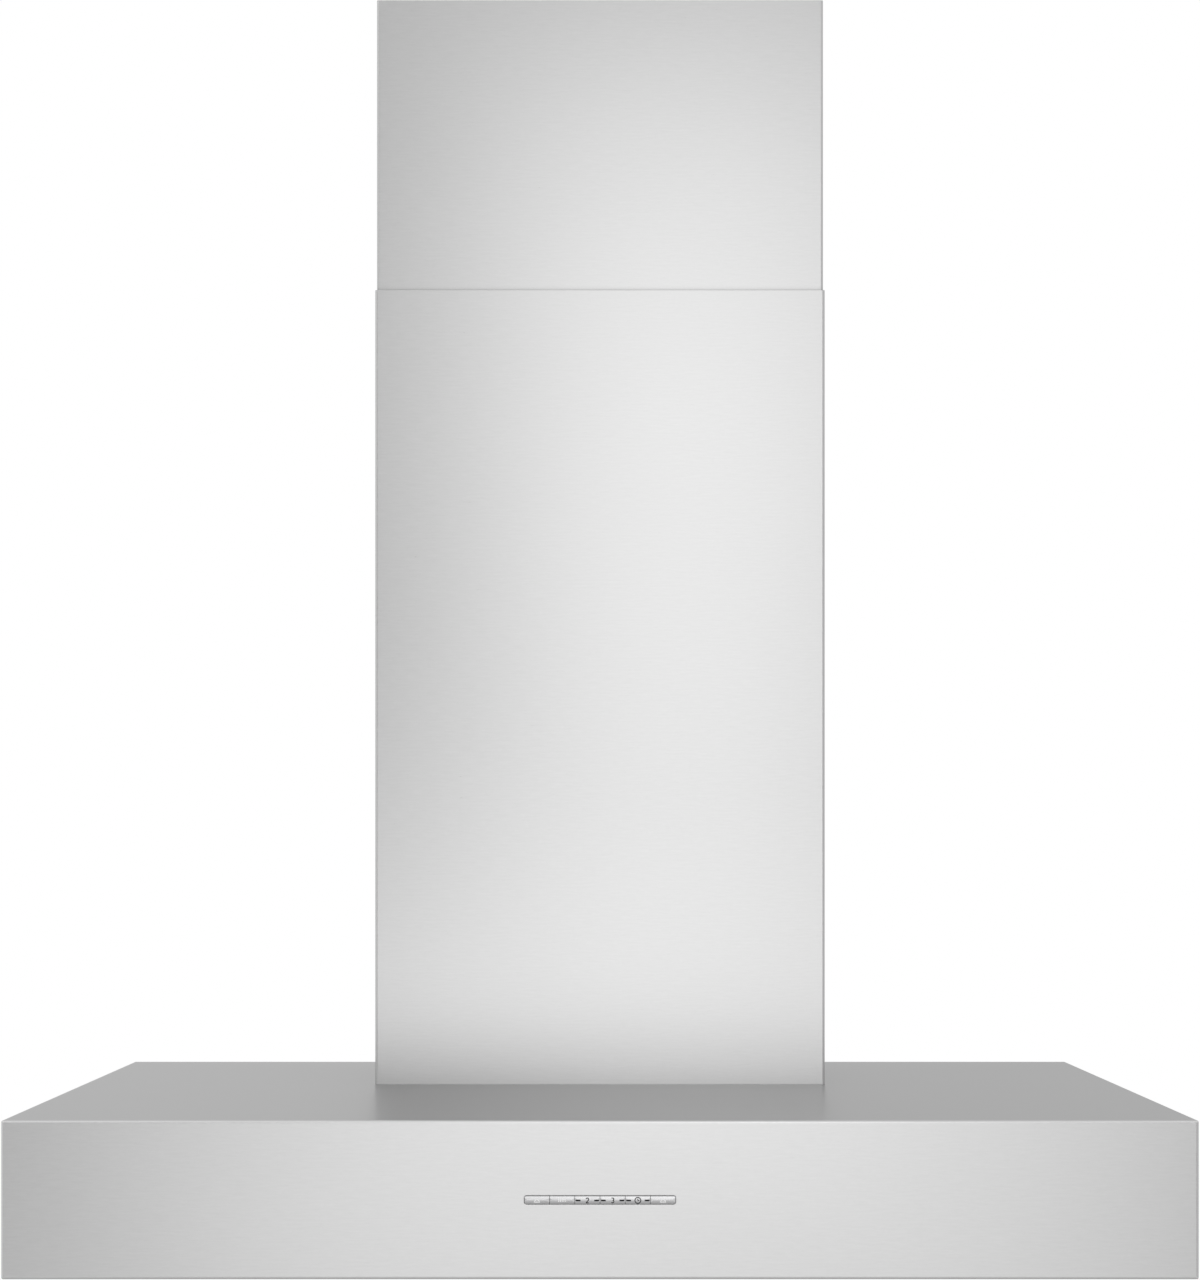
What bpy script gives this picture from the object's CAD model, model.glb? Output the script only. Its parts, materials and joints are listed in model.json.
"""Looks of a wall mount range hood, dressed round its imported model.

Brushed steel canopy and flue covers, polished buttons with their marks, the filters and lamps
under the canopy, and the blower's sheet metal, in a pale studio.
"""

import json
import math
from typing import NamedTuple

import bpy
import numpy as np
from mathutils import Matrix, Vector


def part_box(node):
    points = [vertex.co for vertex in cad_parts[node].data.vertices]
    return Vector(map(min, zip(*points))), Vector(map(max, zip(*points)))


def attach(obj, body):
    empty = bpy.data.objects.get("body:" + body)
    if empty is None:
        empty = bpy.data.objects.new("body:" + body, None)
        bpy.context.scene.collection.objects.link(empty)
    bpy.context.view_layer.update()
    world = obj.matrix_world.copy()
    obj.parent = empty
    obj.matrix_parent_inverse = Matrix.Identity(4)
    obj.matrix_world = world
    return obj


bl_info = {
    "name": "Range Hood Finishes",
    "version": (1, 0, 0),
    "blender": (4, 5, 0),
    "location": "3D View > Sidebar > Hood",
    "description": "Dresses a wall mount range hood and sets its studio",
    "category": "Object",
}

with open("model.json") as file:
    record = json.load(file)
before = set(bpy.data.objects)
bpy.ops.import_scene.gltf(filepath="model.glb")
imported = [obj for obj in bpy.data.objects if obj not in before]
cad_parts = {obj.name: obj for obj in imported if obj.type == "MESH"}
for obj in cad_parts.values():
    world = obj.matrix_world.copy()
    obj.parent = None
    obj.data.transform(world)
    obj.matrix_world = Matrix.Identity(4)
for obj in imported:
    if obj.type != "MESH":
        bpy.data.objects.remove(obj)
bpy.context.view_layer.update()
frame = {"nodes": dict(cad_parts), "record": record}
nodes = frame["nodes"]

CANOPY_LOW, CANOPY_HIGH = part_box("canopy_shell")


class SoftPanel(NamedTuple):
    """A soft lamp that points at the aim: its place, width, height and power."""

    name: str
    place: tuple
    width: float
    height: float
    power: float


# The soft lamps, and the point in the hood that they aim at.
AIM = (0.0, -0.35, 0.20)
PANELS = (
    SoftPanel("high panel", (0.17, -2.6, 0.90), 0.8, 1.2, 2.20),
    SoftPanel("tall strip", (0.13, -2.6, 0.70), 0.6, 1.6, 2.35),
    SoftPanel("middle panel", (0.17, -2.6, 0.50), 1.2, 1.2, 0.70),
    SoftPanel("low panel", (0.12, -2.6, -0.20), 1.6, 0.8, 3.80),
    SoftPanel("low left panel", (-0.50, -2.6, -0.20), 1.0, 0.8, 0.40),
)

# Where the surroundings change, as ranges of a direction's X (walls), Z (ceiling) or Y (behind).
LEFT_WALL_RANGE = (-0.7, -0.25)
RIGHT_WALL_RANGE = (0.25, 0.7)
BACK_WALL_RANGE = (-0.1, 0.15)
CEILING_RANGE = (0.1, 0.7)
BEHIND_RANGE = (-0.5, 0.1)

# A face is brushed as a side where its direction's X part is above this.
SIDEWAYS = 0.7

# How much of the canopy's tone the underside and the filters have.
INNER_SHADE = 0.95


# Settings

class SteelSettings(bpy.types.PropertyGroup):
    """Tone and grain of the brushed steel."""

    tone: bpy.props.FloatVectorProperty(
        name="Steel tone", description="Colour of the brushed steel", subtype="COLOR",
        size=3, min=0.0, max=1.0, default=(0.555, 0.555, 0.555))
    flue_tone: bpy.props.FloatVectorProperty(
        name="Flue tone", description="Colour of the flue covers' steel", subtype="COLOR",
        size=3, min=0.0, max=1.0, default=(0.545, 0.545, 0.545))
    roughness: bpy.props.FloatProperty(
        name="Roughness", description="Mean roughness of the canopy's brushed faces",
        subtype="FACTOR", min=0.05, max=0.9, default=0.315)
    flue_roughness: bpy.props.FloatProperty(
        name="Flue roughness", description="Mean roughness of the flue covers' brushed faces",
        subtype="FACTOR", min=0.05, max=0.9, default=0.295)
    grain_length: bpy.props.FloatProperty(
        name="Grain length", description="Length of one brush stroke",
        subtype="DISTANCE", unit="LENGTH", min=0.002, max=0.2, default=0.013)
    grain_width: bpy.props.FloatProperty(
        name="Grain width", description="Width of one brush stroke",
        subtype="DISTANCE", unit="LENGTH", min=0.0001, max=0.01, default=0.0014)
    contrast: bpy.props.FloatProperty(
        name="Grain contrast", description="How much the strokes change the tone",
        subtype="FACTOR", min=0.0, max=0.5, default=0.10)
    edge: bpy.props.FloatProperty(
        name="Edge radius", description="How far the sheets' cut edges look rounded",
        subtype="DISTANCE", unit="LENGTH", min=0.0, max=0.002, default=0.0006)
    seam_reach: bpy.props.FloatProperty(
        name="Seam reach", description="How far from an inner corner the steel is dulled",
        subtype="DISTANCE", unit="LENGTH", min=0.0, max=0.02, default=0.004)
    seam_depth: bpy.props.FloatProperty(
        name="Seam depth", description="How much darker the steel is right in an inner corner",
        subtype="FACTOR", min=0.0, max=1.0, default=0.8)
    graze: bpy.props.FloatProperty(
        name="Grazing tone", description="How bright the steel stays when it is seen nearly edge-on",
        subtype="FACTOR", min=0.0, max=1.0, default=0.61)


class MarkSettings(bpy.types.PropertyGroup):
    """Marks printed on the buttons."""

    ink: bpy.props.FloatVectorProperty(
        name="Ink", description="Colour of the dark marks", subtype="COLOR",
        size=3, min=0.0, max=1.0, default=(0.012, 0.012, 0.013))
    pale_ink: bpy.props.FloatVectorProperty(
        name="Pale ink", description="Colour of the pale symbols", subtype="COLOR",
        size=3, min=0.0, max=1.0, default=(0.80, 0.80, 0.80))
    dash_length: bpy.props.FloatProperty(
        name="Dash length", description="Length of the dashes beside each symbol",
        subtype="DISTANCE", unit="LENGTH", min=0.001, max=0.005, default=0.0031)
    dash_offset: bpy.props.FloatProperty(
        name="Dash offset", description="Distance of a dash from the button's middle",
        subtype="DISTANCE", unit="LENGTH", min=0.003, max=0.007, default=0.0059)
    dash_width: bpy.props.FloatProperty(
        name="Dash width", description="Width of a dash",
        subtype="DISTANCE", unit="LENGTH", min=0.0002, max=0.002, default=0.00105)
    stroke: bpy.props.FloatProperty(
        name="Stroke", description="Width of a symbol's lines",
        subtype="DISTANCE", unit="LENGTH", min=0.0002, max=0.001, default=0.00058)
    height: bpy.props.FloatProperty(
        name="Symbol height", description="Height of the symbols",
        subtype="DISTANCE", unit="LENGTH", min=0.001, max=0.005, default=0.0031)
    drop: bpy.props.FloatProperty(
        name="Drop", description="How far the marks sit below the middle of their button",
        subtype="DISTANCE", unit="LENGTH", min=-0.001, max=0.001, default=0.00025)
    film: bpy.props.FloatProperty(
        name="Ink thickness", description="How far the ink stands in front of a button's face",
        subtype="DISTANCE", unit="LENGTH", min=0.000005, max=0.0001, default=0.00001)
    crown: bpy.props.FloatProperty(
        name="Crown radius", description="Radius of the buttons' crowned fronts",
        subtype="DISTANCE", unit="LENGTH", min=0.003, max=0.05, default=0.0052)
    end_width: bpy.props.FloatProperty(
        name="End width", description="Width over which a button's front falls away towards its end",
        subtype="DISTANCE", unit="LENGTH", min=0.0, max=0.005, default=0.0026)
    end_radius: bpy.props.FloatProperty(
        name="End radius", description="Radius with which a button's front falls away at its ends",
        subtype="DISTANCE", unit="LENGTH", min=0.005, max=0.1, default=0.018)
    end_lead: bpy.props.FloatProperty(
        name="End lead", description="How far the ends' rounding starts in front of the crown",
        subtype="DISTANCE", unit="LENGTH", min=0.0, max=0.001, default=0.00002)


class StudioSettings(bpy.types.PropertyGroup):
    """Camera, floor and surroundings."""

    camera_distance: bpy.props.FloatProperty(
        name="Camera distance", description="From the camera to the canopy's front",
        subtype="DISTANCE", unit="LENGTH", min=0.5, max=10.0, default=1.7505)
    camera_height: bpy.props.FloatProperty(
        name="Camera height", description="Height of the camera above the canopy's top",
        subtype="DISTANCE", unit="LENGTH", min=-1.0, max=2.0, default=0.167)
    lens: bpy.props.FloatProperty(
        name="Lens", description="Focal length on a 36 mm side",
        min=20.0, max=200.0, default=77.64)
    rise: bpy.props.FloatProperty(
        name="Rise", description="Vertical shift of the camera, as a share of the frame's height",
        min=-0.5, max=0.5, default=0.1695)
    floor_drop: bpy.props.FloatProperty(
        name="Floor drop", description="Distance from the canopy's bottom down to the floor",
        subtype="DISTANCE", unit="LENGTH", min=0.3, max=3.0, default=1.55)
    floor_reach: bpy.props.FloatProperty(
        name="Floor reach", description="Radius of the floor",
        subtype="DISTANCE", unit="LENGTH", min=2.0, max=20.0, default=6.0)
    floor_tone: bpy.props.FloatVectorProperty(
        name="Floor tone", description="Colour of the floor", subtype="COLOR",
        size=3, min=0.0, max=1.0, default=(0.82, 0.82, 0.82))
    fill: bpy.props.FloatProperty(
        name="Fill", description="Level of the light that comes from all round",
        min=0.0, max=2.0, default=0.8)
    room: bpy.props.FloatProperty(
        name="Room", description="Brightness of the room behind the camera, as metal mirrors it",
        min=0.0, max=2.0, default=0.39)
    left_wall: bpy.props.FloatProperty(
        name="Left wall", description="How much brighter than that metal mirrors the room's left side",
        min=0.0, max=2.0, default=0.6)
    right_wall: bpy.props.FloatProperty(
        name="Right wall", description="How much brighter than that metal mirrors the room's right side",
        min=0.0, max=2.0, default=0.35)
    back_right: bpy.props.FloatProperty(
        name="Right of the back wall",
        description="How bright metal mirrors the back wall right of the hood",
        min=0.0, max=2.0, default=0.90)
    ceiling: bpy.props.FloatProperty(
        name="Ceiling", description="How much brighter than that metal mirrors the ceiling",
        min=0.0, max=2.0, default=0.8)


# Node helpers

class Nodes:
    """A node tree, and short ways to add nodes to it."""

    def __init__(self, tree):
        self.tree = tree

    def add(self, kind, **attributes):
        """A new node of a kind."""
        node = self.tree.nodes.new(kind)
        for key, value in attributes.items():
            setattr(node, key, value)
        return node

    def link(self, source, target):
        self.tree.links.new(source, target)

    def feed(self, target, value):
        """Sets a socket to a number, a colour or another node's output."""
        if isinstance(value, bpy.types.NodeSocket):
            self.link(value, target)
        else:
            target.default_value = value

    def math(self, operation, a, b=0.0):
        """The output of a math node."""
        node = self.add("ShaderNodeMath", operation=operation)
        self.feed(node.inputs[0], a)
        self.feed(node.inputs[1], b)
        return node.outputs[0]

    def coordinates(self, kind):
        """Texture coordinates of a kind, as three outputs."""
        place = self.add("ShaderNodeTexCoord")
        split = self.add("ShaderNodeSeparateXYZ")
        self.link(place.outputs[kind], split.inputs[0])
        return split.outputs

    def ramp(self, value, low, high, start=0.0, stop=1.0):
        """A soft change from low to high as a value goes from the start to the stop."""
        node = self.add("ShaderNodeMapRange", interpolation_type="SMOOTHSTEP")
        self.link(value, node.inputs["Value"])
        node.inputs["From Min"].default_value = start
        node.inputs["From Max"].default_value = stop
        self.feed(node.inputs["To Min"], low)
        self.feed(node.inputs["To Max"], high)
        return node.outputs[0]


class Shader(Nodes):
    """A new material with its principled shader and its output."""

    def __init__(self, name):
        self.material = bpy.data.materials.new(name)
        self.material.use_nodes = True
        super().__init__(self.material.node_tree)
        self.tree.nodes.clear()
        self.bsdf = self.add("ShaderNodeBsdfPrincipled")
        self.output = self.add("ShaderNodeOutputMaterial")
        self.link(self.bsdf.outputs["BSDF"], self.output.inputs["Surface"])

    def surface(self, **values):
        """Sets the principled shader's sockets by name, with _ for a space."""
        for key, value in values.items():
            self.feed(self.bsdf.inputs[key.replace("_", " ")], value)

    def position(self):
        """The point on the surface in the object's own frame, as three outputs."""
        return self.coordinates("Object")

    def facing(self):
        """The surface's direction in the object's own frame, as three outputs."""
        return self.coordinates("Normal")

    def vector(self, x, y, z=0.0):
        """Three values as one vector."""
        node = self.add("ShaderNodeCombineXYZ")
        for socket, value in zip(node.inputs, (x, y, z)):
            self.feed(socket, value)
        return node.outputs[0]

    def noise(self, vector, cells, detail=2.0, roughness=0.5):
        """Noise from 0 to 1, with a number of cells in each metre, or one number for each axis."""
        mapping = self.add("ShaderNodeMapping")
        mapping.inputs["Scale"].default_value = cells if isinstance(cells, tuple) else (cells,) * 3
        self.link(vector, mapping.inputs["Vector"])
        node = self.add("ShaderNodeTexNoise")
        self.link(mapping.outputs[0], node.inputs["Vector"])
        node.inputs["Scale"].default_value = 1.0
        node.inputs["Detail"].default_value = detail
        node.inputs["Roughness"].default_value = roughness
        return node.outputs["Fac"]

    def cells(self, vector, per_metre, randomness=1.0):
        """A node that splits space into cells round scattered points."""
        node = self.add("ShaderNodeTexVoronoi", feature="F1")
        node.inputs["Scale"].default_value = per_metre
        node.inputs["Randomness"].default_value = randomness
        self.link(vector, node.inputs["Vector"])
        return node

    def spread(self, value, low, high):
        """Maps 0 to 1 onto low to high."""
        node = self.add("ShaderNodeMapRange")
        self.feed(node.inputs["Value"], value)
        node.inputs["To Min"].default_value = low
        node.inputs["To Max"].default_value = high
        return node.outputs[0]

    def blend(self, share, first, second):
        """One shader turning into another as a share goes from 0 to 1."""
        node = self.add("ShaderNodeMixShader")
        for socket, value in zip(node.inputs, (share, first, second)):
            self.link(value, socket)
        return node.outputs[0]

    def tint(self, colour, factor):
        """A colour times a varying factor."""
        node = self.add("ShaderNodeVectorMath", operation="SCALE")
        node.inputs[0].default_value = colour[:3]
        self.link(factor, node.inputs["Scale"])
        return node.outputs[0]

    def openness(self, reach):
        """1 on an open face, falling towards inner corners within a reach."""
        node = self.add("ShaderNodeAmbientOcclusion", samples=8)
        node.inputs["Distance"].default_value = reach
        return node.outputs["AO"]

    def bump(self, height, strength, distance, edge=0.0):
        """Relief from a height, over corners that look rounded by an edge radius."""
        node = self.add("ShaderNodeBump")
        if edge:
            rounding = self.add("ShaderNodeBevel", samples=4)
            rounding.inputs["Radius"].default_value = edge
            self.link(rounding.outputs[0], node.inputs["Normal"])
        node.inputs["Strength"].default_value = strength
        node.inputs["Distance"].default_value = distance
        self.link(height, node.inputs["Height"])
        self.link(node.outputs[0], self.bsdf.inputs["Normal"])


def along_grain(shader):
    """Grain coordinates: the first runs with the brushing, the second across it.

    Brushing runs level on every face: along X in front, above and below, and along Y on the sides.
    """
    x, y, z = shader.position()
    side = shader.math("GREATER_THAN", shader.math("ABSOLUTE", shader.facing()[0]), SIDEWAYS)
    front = shader.math("SUBTRACT", 1.0, side)
    run = shader.math("ADD", shader.math("MULTIPLY", x, front), shader.math("MULTIPLY", y, side))
    across = shader.math("ADD", z, shader.math("MULTIPLY", y, front))
    return shader.vector(run, across)


# Finishes

def brushed_steel(name, tone, roughness, graze, contrast, length, width, edge=0.0, seam=(0.0, 0.0),
                  finer=(4.0, 5.0), fine_share=0.4, gloss_change=0.05):
    """Satin steel: long thin strokes, and finer ones among them, in tone, roughness and relief.

    The finer strokes are that many times shorter and thinner. The steel's cut edges can look
    deburred, and its inner corners dulled as far as a reach and by a depth.
    """
    shader = Shader(name)
    grain = along_grain(shader)
    strokes = shader.noise(grain, (1 / length, 1 / width, 1.0), detail=3.0, roughness=0.6)
    fine = shader.noise(grain, (finer[0] / length, finer[1] / width, 1.0), detail=2.0)
    cloud = shader.noise(grain, (6.0, 9.0, 1.0), detail=1.0)
    mixed = shader.math(
        "ADD", shader.math("MULTIPLY", strokes, 1 - fine_share), shader.math("MULTIPLY", fine, fine_share))
    tone_factor = shader.math(
        "MULTIPLY", shader.spread(mixed, 1 - contrast, 1 + contrast), shader.spread(cloud, 0.99, 1.01))
    reach, depth = seam
    if reach:
        tone_factor = shader.math(
            "MULTIPLY", tone_factor, shader.spread(shader.openness(reach), 1 - depth, 1.0))
    shader.surface(
        Base_Color=shader.tint(tone, tone_factor), Metallic=1.0, Specular_Tint=(graze, graze, graze, 1.0),
        Roughness=shader.spread(mixed, roughness - gloss_change, roughness + gloss_change))
    shader.bump(mixed, strength=0.08, distance=0.00005, edge=edge)
    return shader.material


def polished_metal(name, tone, roughness):
    """Bright metal with faint wipe marks in its gloss."""
    shader = Shader(name)
    place = shader.vector(*shader.position())
    wipes = shader.noise(place, (120.0, 120.0, 400.0), detail=3.0)
    shader.surface(
        Base_Color=shader.tint(tone, shader.spread(wipes, 0.96, 1.03)), Metallic=1.0,
        Roughness=shader.spread(wipes, roughness * 0.7, roughness * 1.4))
    return shader.material


def galvanised(name, tone):
    """Zinc-coated sheet: flat crystals of slightly different tone, a few millimetres across."""
    shader = Shader(name)
    place = shader.vector(*shader.position())
    tone_of_cell = shader.add("ShaderNodeSeparateXYZ")
    shader.link(shader.cells(place, per_metre=160.0).outputs["Color"], tone_of_cell.inputs[0])
    crystals = tone_of_cell.outputs[0]
    stain = shader.noise(place, 14.0, detail=3.0)
    factor = shader.math("MULTIPLY", shader.spread(crystals, 0.86, 1.08), shader.spread(stain, 0.92, 1.05))
    shader.surface(
        Base_Color=shader.tint(tone, factor), Metallic=0.9,
        Roughness=shader.spread(crystals, 0.34, 0.52))
    shader.bump(crystals, strength=0.08, distance=0.0001)
    return shader.material


def turned_metal(name, tone, roughness):
    """Lathe-cut metal: fine streaks that run along Y."""
    shader = Shader(name)
    x, _, z = shader.position()
    rings = shader.noise(shader.vector(x, 0.0, z), (2500.0, 1.0, 2500.0), detail=1.0)
    shader.surface(
        Base_Color=shader.tint(tone, shader.spread(rings, 0.9, 1.06)), Metallic=1.0,
        Roughness=shader.spread(rings, roughness * 0.8, roughness * 1.3))
    shader.bump(rings, strength=0.15, distance=0.00005)
    return shader.material


def cast_metal(name, tone):
    """Die-cast metal with a slightly pebbled skin."""
    shader = Shader(name)
    place = shader.vector(*shader.position())
    pebble = shader.noise(place, 900.0, detail=3.0)
    patch = shader.noise(place, 45.0, detail=2.0)
    shader.surface(
        Base_Color=shader.tint(tone, shader.spread(patch, 0.88, 1.08)), Metallic=0.95,
        Roughness=shader.spread(pebble, 0.42, 0.62))
    shader.bump(pebble, strength=0.25, distance=0.00012)
    return shader.material


def moulded_plastic(name, tone, roughness, pebble_size=0.0006):
    """Moulded plastic with a fine spark-eroded texture."""
    shader = Shader(name)
    place = shader.vector(*shader.position())
    pebble = shader.noise(place, 1 / pebble_size, detail=2.0)
    patch = shader.noise(place, 30.0, detail=2.0)
    shader.surface(
        Base_Color=shader.tint(tone, shader.spread(patch, 0.9, 1.1)),
        Roughness=shader.spread(pebble, roughness - 0.06, roughness + 0.08), IOR=1.5)
    shader.bump(pebble, strength=0.2, distance=0.00006)
    return shader.material


def circuit_board(name):
    """Green solder mask with paler copper tracks showing through it."""
    shader = Shader(name)
    x, _, z = shader.position()
    track = shader.add("ShaderNodeTexBrick", offset=0.35)
    track.inputs["Scale"].default_value = 140.0
    track.inputs["Mortar Size"].default_value = 0.06
    track.inputs["Color1"].default_value = (0.010, 0.110, 0.045, 1.0)
    track.inputs["Color2"].default_value = (0.012, 0.125, 0.050, 1.0)
    track.inputs["Mortar"].default_value = (0.060, 0.260, 0.100, 1.0)
    shader.link(shader.vector(x, z), track.inputs["Vector"])
    shader.surface(Base_Color=track.outputs["Color"], Roughness=0.35, IOR=1.5)
    shader.bump(track.outputs["Fac"], strength=0.2, distance=0.00005)
    return shader.material


def frosted_glass(name, tone, centre, dot_pitch=0.0065):
    """Opal lamp lens with the dots of its light source showing faintly through."""
    shader = Shader(name)
    x, y, z = shader.position()
    flat = shader.vector(shader.math("SUBTRACT", x, centre[0]), shader.math("SUBTRACT", y, centre[1]))
    dots = shader.cells(flat, per_metre=1 / dot_pitch, randomness=0.0)
    spot = shader.spread(dots.outputs["Distance"], 1.0, 0.72)
    frost = shader.noise(shader.vector(x, y, z), 2500.0, detail=1.0)
    shader.surface(
        Base_Color=shader.tint(tone, spot), Roughness=shader.spread(frost, 0.35, 0.5), IOR=1.49,
        Subsurface_Weight=0.25, Subsurface_Radius=(0.004, 0.004, 0.004))
    shader.bump(frost, strength=0.08, distance=0.00004)
    return shader.material


def foam_rubber(name):
    """Closed-cell foam with small pores."""
    shader = Shader(name)
    place = shader.vector(*shader.position())
    pores = shader.noise(place, 1300.0, detail=2.0)
    shader.surface(
        Base_Color=shader.tint((0.022, 0.022, 0.023), shader.spread(pores, 0.7, 1.5)),
        Roughness=shader.spread(pores, 0.75, 0.95), IOR=1.45)
    shader.bump(pores, strength=0.5, distance=0.0002)
    return shader.material


def ink(name, tone):
    """Matt screen-printed ink, slightly uneven."""
    shader = Shader(name)
    place = shader.vector(*shader.position())
    film = shader.noise(place, 3000.0, detail=1.0)
    shader.surface(
        Base_Color=shader.tint(tone, shader.spread(film, 0.9, 1.15)),
        Roughness=shader.spread(film, 0.70, 0.85), IOR=1.35)
    return shader.material


def dress(material, slot, group=""):
    """Gives the CAD nodes of a material slot one material on all their faces.

    With a group, only the nodes whose names start with it.
    """
    for part in frame["record"]["subparts"]:
        if part["material_slot"] == slot and part["node"].startswith(group):
            mesh = nodes[part["node"]].data
            mesh.materials.clear()
            mesh.materials.append(material)
            mesh.polygons.foreach_set("material_index", np.zeros(len(mesh.polygons), np.int32))


# Surfaces

def mesh_piece(name, points, faces, material, body):
    """A finished piece from its points and faces, riding on a body."""
    mesh = bpy.data.meshes.new(name)
    mesh.from_pydata(points.tolist(), [], faces)
    mesh.materials.append(material)
    mesh.update()
    piece = bpy.data.objects.new(name, mesh)
    bpy.context.scene.collection.objects.link(piece)
    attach(piece, body)
    return piece


def tube_faces(rings, sides, first, closed=False):
    """Quads between neighbouring rings of a closed section, and caps on the ends of an open run."""
    ring, side = np.meshgrid(np.arange(rings if closed else rings - 1), np.arange(sides), indexing="ij")
    after, ahead = (side + 1) % sides, (ring + 1) % rings
    walls = np.stack(
        [ring * sides + side, ring * sides + after, ahead * sides + after, ahead * sides + side], axis=-1)
    none = np.zeros((0, sides), int)
    start = none if closed else np.arange(sides)[::-1][None, :]
    end = none if closed else (rings - 1) * sides + np.arange(sides)[None, :]
    return walls.reshape(-1, 4) + first, start + first, end + first


def ribbon(path, width, closed=False, mitre=0.5):
    """Corners of a flat band along a path in the plane.

    At each point of the path the band reaches out to either side, square to the mean of the
    neighbouring directions, by half its width over the cosine between that mean and the next
    direction. So its sides stay parallel to the path. The mitre is the least cosine that counts.
    """
    path = np.asarray(path, float)
    if closed:
        before, after = np.roll(path, 1, axis=0), np.roll(path, -1, axis=0)
    else:
        before = np.vstack([path[:1], path[:-1]])
        after = np.vstack([path[1:], path[-1:]])
    back, ahead = path - before, after - path
    if not closed:
        back[0], ahead[-1] = ahead[0], back[-1]
    back /= np.linalg.norm(back, axis=1)[:, None]
    ahead /= np.linalg.norm(ahead, axis=1)[:, None]
    mean = back + ahead
    mean /= np.linalg.norm(mean, axis=1)[:, None]
    normal = np.column_stack([-mean[:, 1], mean[:, 0]])
    reach = width / 2 / np.maximum(np.sum(mean * ahead, axis=1), mitre)
    return path - normal * reach[:, None], path + normal * reach[:, None]


def arc(centre, radius, start, end, count):
    """Points on a circle from one angle to another, in degrees, anticlockwise from the right."""
    angle = np.radians(np.linspace(start, end, count))
    return np.column_stack([centre[0] + radius * np.cos(angle), centre[1] + radius * np.sin(angle)])


def figure_two(h, bowl=0.27):
    """Strokes of a plain 2 of height h: a bowl that runs into a slope, and a base."""
    r = bowl * h
    curve = arc((0.0, h / 2 - r), r, 170, -35, count=16)
    return [np.vstack([curve, [[-r, -h / 2]]]), np.array([[-r, -h / 2], [r, -h / 2]])]


def figure_three(h, upper=0.235, lower=0.265):
    """Strokes of a plain 3 of height h: an upper and a lower bowl that meet near the middle."""
    top, low = upper * h, lower * h
    return [arc((0.0, h / 2 - top), top, 150, -90, count=14),
            arc((0.0, -h / 2 + low), low, 90, -150, count=16)]


def clock_face(h, ring=0.60, upright=0.62, level=0.50):
    """Strokes of a clock: a ring, and two hands whose lengths are shares of its radius."""
    r = ring * h
    return [arc((0.0, 0.0), r, 90, 450, count=33),
            np.array([[0.0, upright * r], [0.0, 0.0]]), np.array([[0.0, 0.0], [level * r, 0.0]])]


def lamp_symbol(h, shade=0.50, base=1.25, drop=0.35):
    """Strokes of a lamp seen from the side: a half-round shade over its base line."""
    r, level = shade * h, -drop * h
    return [arc((0.0, level), r, 0, 180, count=18), np.array([[-base * r, level], [base * r, level]])]


def bars_symbol(h, reach=0.32, places=(-0.7, -0.35, 0.0, 0.35, 0.7)):
    """Five short upright strokes side by side."""
    return [np.array([[x * h, -reach * h], [x * h, reach * h]]) for x in places]


def even_path(path, step):
    """The same path with points no further apart than a step, spaced evenly along it."""
    length = np.concatenate([[0.0], np.cumsum(np.linalg.norm(np.diff(path, axis=0), axis=1))])
    along = np.linspace(0.0, length[-1], max(2, int(math.ceil(length[-1] / step)) + 1))
    return np.column_stack([np.interp(along, length, path[:, axis]) for axis in (0, 1)])


def printed_marks(name, button, strokes, material, marks, step=0.00015, sink=0.0001, across=5):
    """Ink on a crowned button, as one closed film for each stroke.

    A stroke is a grid: one parameter runs along its path, the other from one side of the band to the
    other. The crown is a cylinder of radius r along X, so a point at height z above the button's
    middle lies r - sqrt(r * r - z * z) behind the foremost line. Each end is a cylinder of radius e
    along Z, which starts a lead in front of that line and a width w inside the button's end: with u
    the way from there outwards, its points lie e - sqrt(e * e - u * u) - lead behind the line. The
    face is the hindmost of the two. The front grid stands a film's thickness in front of it, and
    the back grid is sunk a little into the cap.
    """
    low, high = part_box(button)
    middle = (low + high) / 2
    crown, fall, film = marks.crown, marks.end_radius, marks.film
    end_start = (high.x - low.x) / 2 - marks.end_width
    points, faces, count = [], [], 0
    for path, width in strokes:
        path = even_path(np.asarray(path, float) - (0.0, marks.drop), step)
        closed = np.allclose(path[0], path[-1])
        if closed:
            path = path[:-1]
        left, right = ribbon(path, width, closed)
        share = np.linspace(0.0, 1.0, across)[None, :, None]
        flat = left[:, None] * (1 - share) + right[:, None] * share
        outwards = np.maximum(np.abs(flat[..., 0]) - end_start, 0.0)
        dip = np.maximum(
            crown - np.sqrt(crown ** 2 - flat[..., 1] ** 2),
            fall - np.sqrt(fall ** 2 - outwards ** 2) - marks.end_lead)
        front = np.stack([middle.x + flat[..., 0], low.y + dip - film, middle.z + flat[..., 1]], axis=-1)
        back = front[:, ::-1] + np.array([0.0, film + sink, 0.0])
        section = np.concatenate([front, back], axis=1)
        walls, start, end = tube_faces(len(path), 2 * across, count, closed)
        points.append(section.reshape(-1, 3))
        faces += walls.tolist() + start.tolist() + end.tolist()
        count += len(path) * 2 * across
    return mesh_piece(name, np.vstack(points), faces, material, button)


# Operators

class HOOD_OT_steel(bpy.types.Operator):
    """Brushed steel on the canopy and the flue covers"""

    bl_idname = "hood.steel"
    bl_label = "Canopy and flue steel"

    def execute(self, context):
        steel = context.scene.hood_steel
        look = (steel.graze, steel.contrast, steel.grain_length, steel.grain_width, steel.edge)
        flue = (steel.flue_tone, steel.flue_roughness, *look)
        seam = (steel.seam_reach, steel.seam_depth)
        dress(brushed_steel("canopy steel", steel.tone, steel.roughness, *look), "canopy_steel")
        dress(brushed_steel("flue steel", *flue), "flue_steel")
        dress(brushed_steel("upper flue steel", *flue, seam), "flue_steel", "upper")
        return {"FINISHED"}


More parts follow.
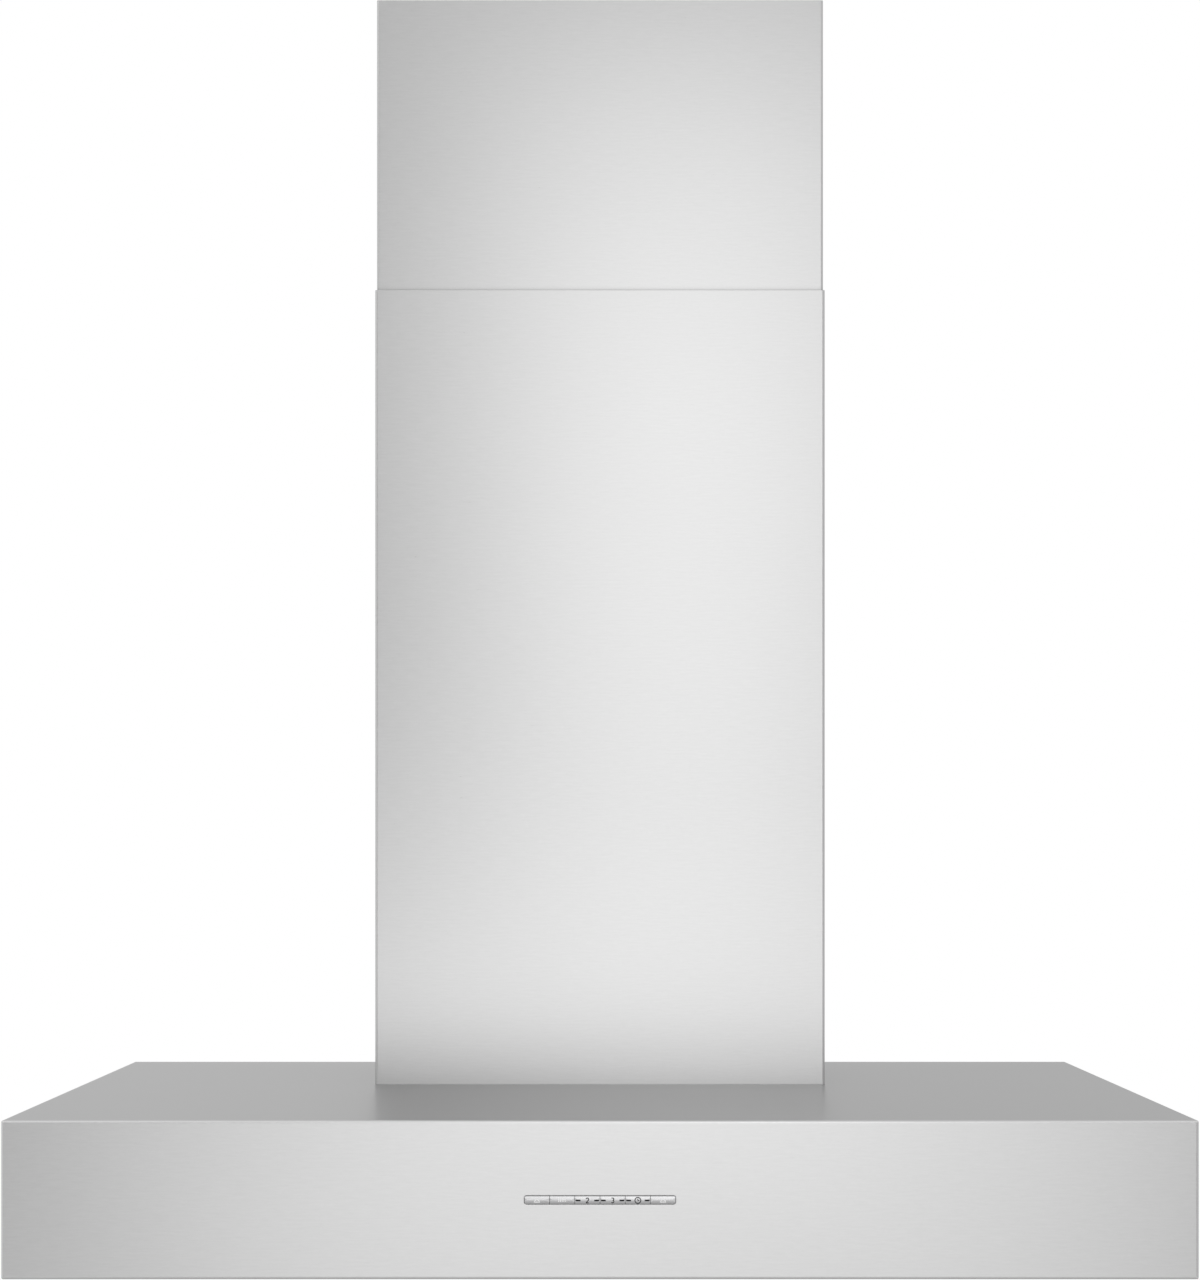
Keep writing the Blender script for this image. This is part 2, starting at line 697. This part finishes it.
class HOOD_OT_underside(bpy.types.Operator):
    """Finishes of the underside panel, the filters and the lamps"""

    bl_idname = "hood.underside"
    bl_label = "Underside, filters and lamps"

    def execute(self, context):
        steel = context.scene.hood_steel
        tone = [INNER_SHADE * c for c in steel.tone]
        dress(brushed_steel("underside steel", tone, roughness=0.34, graze=0.8, contrast=steel.contrast,
                            length=0.03, width=0.001), "underside_steel")
        dress(brushed_steel("filter steel", tone, roughness=0.28, graze=0.8, contrast=0.05,
                            length=0.018, width=0.0009), "filter_steel")
        dress(polished_metal("knob steel", (0.62, 0.62, 0.63), roughness=0.16), "knob_steel")
        dress(cast_metal("magnet ferrite", (0.05, 0.05, 0.055)), "magnet_black")
        dress(brushed_steel("lamp trim", (0.62, 0.62, 0.62), roughness=0.24, graze=0.8, contrast=0.04,
                            length=0.012, width=0.0006), "lamp_trim")
        low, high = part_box("lamp_right_lens")
        dress(frosted_glass("lamp glass", (0.86, 0.86, 0.83), (low + high) / 2), "lamp_glass")
        return {"FINISHED"}


class HOOD_OT_blower(bpy.types.Operator):
    """Finishes of the blower, the outlet and the wiring box"""

    bl_idname = "hood.blower"
    bl_label = "Blower and outlet"

    def execute(self, context):
        dress(galvanised("galvanised sheet", (0.52, 0.54, 0.55)), "galvanised_sheet")
        dress(turned_metal("turned steel", (0.50, 0.50, 0.51), roughness=0.3), "turned_steel")
        dress(polished_metal("zinc plate", (0.60, 0.62, 0.64), roughness=0.28), "screw_zinc")
        dress(cast_metal("cast aluminium", (0.48, 0.49, 0.50)), "cast_aluminium")
        dress(moulded_plastic("black plastic", (0.020, 0.020, 0.022), roughness=0.45), "black_plastic")
        dress(moulded_plastic("pale plastic", (0.72, 0.72, 0.68), roughness=0.35), "pale_plastic")
        dress(foam_rubber("gasket foam"), "gasket_rubber")
        dress(circuit_board("board green"), "circuit_board")
        return {"FINISHED"}


class HOOD_OT_buttons(bpy.types.Operator):
    """Polished buttons with their marks"""

    bl_idname = "hood.buttons"
    bl_label = "Buttons and marks"

    def execute(self, context):
        marks = context.scene.hood_marks
        dress(polished_metal("button chrome", (0.46, 0.46, 0.465), roughness=0.26), "button_chrome")
        reach = marks.dash_length / 2
        dashes = [(np.array([[middle - reach, 0.0], [middle + reach, 0.0]]), marks.dash_width)
                  for middle in (-marks.dash_offset, marks.dash_offset)]
        dark, pale = ink("dark ink", marks.ink), ink("pale ink", marks.pale_ink)
        for number, symbol, material in (
                (1, lamp_symbol, pale), (2, bars_symbol, pale), (3, figure_two, dark),
                (4, figure_three, dark), (5, clock_face, dark), (6, lamp_symbol, pale)):
            strokes = [(path, marks.stroke) for path in symbol(marks.height)]
            if material is dark:
                strokes += dashes
            button = f"button_{number}"
            printed_marks(f"{button}_marks", button, strokes, material, marks)
        return {"FINISHED"}


class HOOD_OT_studio(bpy.types.Operator):
    """Floor, soft light and camera"""

    bl_idname = "hood.studio"
    bl_label = "Studio"

    def execute(self, context):
        studio = context.scene.hood_studio
        scene = context.scene
        scene.view_settings.view_transform = "Standard"
        self.floor(CANOPY_LOW.z - studio.floor_drop, studio.floor_reach, studio.floor_tone)
        self.world(scene, studio)
        for panel in PANELS:
            self.lamp(panel)
        data = bpy.data.cameras.new("camera")
        data.sensor_width = 36.0
        data.lens = studio.lens
        data.shift_y = studio.rise
        data.clip_end = 100.0
        camera = bpy.data.objects.new("camera", data)
        scene.collection.objects.link(camera)
        camera.location = (
            0.0, CANOPY_LOW.y - studio.camera_distance, CANOPY_HIGH.z + studio.camera_height)
        camera.rotation_euler = (math.radians(90), 0.0, 0.0)
        scene.camera = camera
        return {"FINISHED"}

    def floor(self, level, reach, tone, turns=64, steps=8, fade_start=0.2, fade_stop=0.6):
        """A round pale floor: a disc of rings whose radii grow evenly.

        Between two shares of its reach it fades into the white that the camera and polished metal
        see all round. A camera below it looks through it.
        """
        angle = np.linspace(0, 2 * np.pi, turns, endpoint=False)
        radius = np.linspace(reach / steps, reach, steps)
        grid = radius[:, None, None] * np.stack([np.cos(angle), np.sin(angle)], axis=-1)[None]
        points = np.vstack([[[0.0, 0.0]], grid.reshape(-1, 2)])
        points = np.column_stack([points, np.full(len(points), level)])
        side = np.arange(turns)
        after = (side + 1) % turns
        middle = np.column_stack([np.zeros(turns, int), 1 + side, 1 + after]).tolist()
        first = 1 + turns * np.arange(steps - 1)[:, None]
        rings = np.stack(
            [first + side, first + turns + side, first + turns + after, first + after], axis=-1)
        mesh = bpy.data.meshes.new("floor")
        mesh.from_pydata(points.tolist(), [], middle + rings.reshape(-1, 4).tolist())
        shader = Shader("floor white")
        x, y, z = shader.position()
        patches = shader.noise(shader.vector(x, y, z), 3.0)
        shader.surface(Base_Color=shader.tint(tone, shader.spread(patches, 0.98, 1.02)), Roughness=0.7)
        squares = shader.math("ADD", shader.math("POWER", x, 2.0), shader.math("POWER", y, 2.0))
        away = shader.math("SQRT", squares)
        rays = shader.add("ShaderNodeLightPath")
        seen = shader.math("MAXIMUM", rays.outputs["Is Camera Ray"], rays.outputs["Is Glossy Ray"])
        faded = shader.ramp(away, 0.0, 1.0, fade_start * reach, fade_stop * reach)
        white = shader.math("MULTIPLY", faded, seen)
        glow = shader.add("ShaderNodeEmission").outputs[0]
        upper = shader.blend(white, shader.bsdf.outputs["BSDF"], glow)
        below = shader.add("ShaderNodeNewGeometry").outputs["Backfacing"]
        hidden = shader.math("MULTIPLY", below, rays.outputs["Is Camera Ray"])
        clear = shader.add("ShaderNodeBsdfTransparent").outputs[0]
        shader.link(shader.blend(hidden, upper, clear), shader.output.inputs["Surface"])
        mesh.materials.append(shader.material)
        floor = bpy.data.objects.new("floor", mesh)
        bpy.context.scene.collection.objects.link(floor)

    def world(self, scene, studio):
        """White where the camera or glass looks, and behind the hood where metal mirrors it.

        On the camera's side metal mirrors a room that is dim in the middle and brighter towards its
        side walls and its ceiling, and matt surfaces get an even fill.
        """
        world = bpy.data.worlds.new("studio")
        scene.world = world
        world.use_nodes = True
        sky = Nodes(world.node_tree)
        x, y, z = sky.coordinates("Generated")
        left = sky.ramp(x, studio.left_wall, 0.0, *LEFT_WALL_RANGE)
        right = sky.ramp(x, 0.0, studio.right_wall, *RIGHT_WALL_RANGE)
        upper = sky.ramp(z, studio.room, studio.room + studio.ceiling, *CEILING_RANGE)
        room = sky.math("ADD", sky.math("ADD", left, right), upper)
        back = sky.ramp(x, 1.0, studio.back_right, *BACK_WALL_RANGE)
        around = sky.ramp(y, room, back, *BEHIND_RANGE)
        rays = sky.add("ShaderNodeLightPath").outputs
        mirrored = sky.ramp(rays["Is Glossy Ray"], studio.fill, around)
        through = sky.ramp(rays["Is Transmission Ray"], mirrored, 1.0)
        seen = sky.ramp(rays["Is Camera Ray"], through, 1.0)
        background = sky.tree.nodes["Background"].inputs
        background["Color"].default_value = (1.0, 1.0, 1.0, 1.0)
        sky.link(seen, background["Strength"])

    def lamp(self, panel):
        """A soft panel, turned so that its -Z axis points at the aim."""
        data = bpy.data.lights.new(panel.name, "AREA")
        data.shape = "RECTANGLE"
        data.size, data.size_y = panel.width, panel.height
        data.energy = panel.power
        lamp = bpy.data.objects.new(panel.name, data)
        bpy.context.scene.collection.objects.link(lamp)
        lamp.location = panel.place
        x, y, z = np.array(AIM) - np.array(panel.place)
        yaw = math.atan2(-x, y)
        pitch = math.atan2(math.hypot(x, y), -z)
        lamp.rotation_euler = (pitch, 0.0, yaw)


class HOOD_PT_panel(bpy.types.Panel):
    """Lists the hood's settings and operators"""

    bl_idname = "HOOD_PT_panel"
    bl_label = "Range hood"
    bl_space_type = "VIEW_3D"
    bl_region_type = "UI"
    bl_category = "Hood"

    def draw(self, context):
        layout = self.layout
        for settings in (context.scene.hood_steel, context.scene.hood_marks, context.scene.hood_studio):
            for name in settings.bl_rna.properties.keys():
                if name not in ("rna_type", "name"):
                    layout.prop(settings, name)
        for operator in OPERATORS:
            layout.operator(operator.bl_idname)


OPERATORS = (HOOD_OT_steel, HOOD_OT_underside, HOOD_OT_blower, HOOD_OT_buttons, HOOD_OT_studio)
CLASSES = (SteelSettings, MarkSettings, StudioSettings, *OPERATORS, HOOD_PT_panel)


def register():
    for cls in CLASSES:
        bpy.utils.register_class(cls)
    bpy.types.Scene.hood_steel = bpy.props.PointerProperty(type=SteelSettings)
    bpy.types.Scene.hood_marks = bpy.props.PointerProperty(type=MarkSettings)
    bpy.types.Scene.hood_studio = bpy.props.PointerProperty(type=StudioSettings)


def unregister():
    del bpy.types.Scene.hood_studio
    del bpy.types.Scene.hood_marks
    del bpy.types.Scene.hood_steel
    for cls in reversed(CLASSES):
        bpy.utils.unregister_class(cls)


def main():
    register()
    bpy.ops.hood.steel()
    bpy.ops.hood.underside()
    bpy.ops.hood.blower()
    bpy.ops.hood.buttons()
    bpy.ops.hood.studio()


if __name__ == "__main__":
    main()
